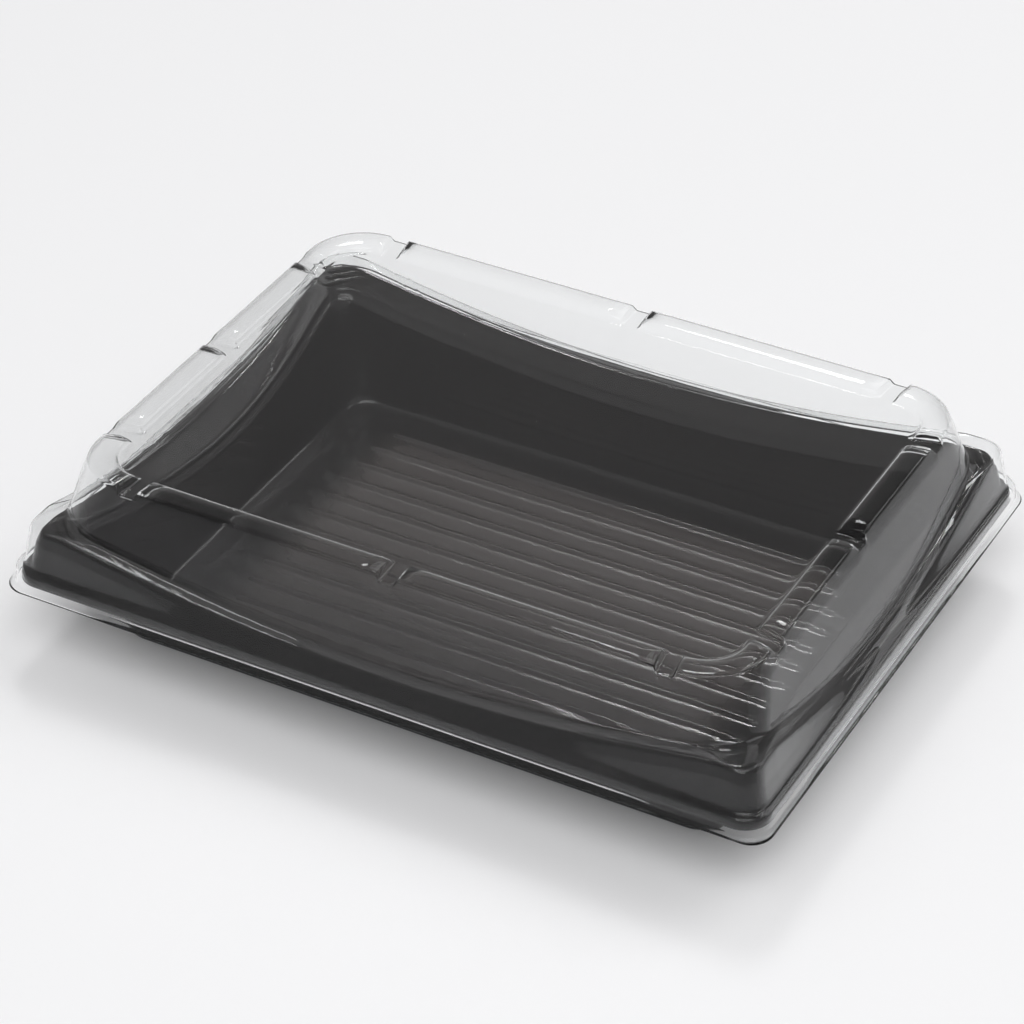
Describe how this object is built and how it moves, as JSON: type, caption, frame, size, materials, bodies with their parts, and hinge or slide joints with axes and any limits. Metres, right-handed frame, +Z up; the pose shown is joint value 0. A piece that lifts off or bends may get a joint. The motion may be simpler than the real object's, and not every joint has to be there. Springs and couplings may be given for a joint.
{
  "type": "takeaway sushi tray with clear lid",
  "caption": "Rectangular black takeaway tray with a ribbed floor and dipping stepped rim, closed by a clear lid with a notched raised bead frame.",
  "frame": {"origin": "middle of the footprint, at the underside of the tray floor", "axes": "+Z up, +X along the long side, +Y along the short side"},
  "size_m": [0.2312, 0.1736, 0.0576],
  "materials": {
    "tray_plastic": "glossy",
    "lid_plastic": "clear glossy plastic"
  },
  "bodies": {
    "root": {"tray": "tray_plastic", "lid": "lid_plastic"}
  },
  "joints": []
}
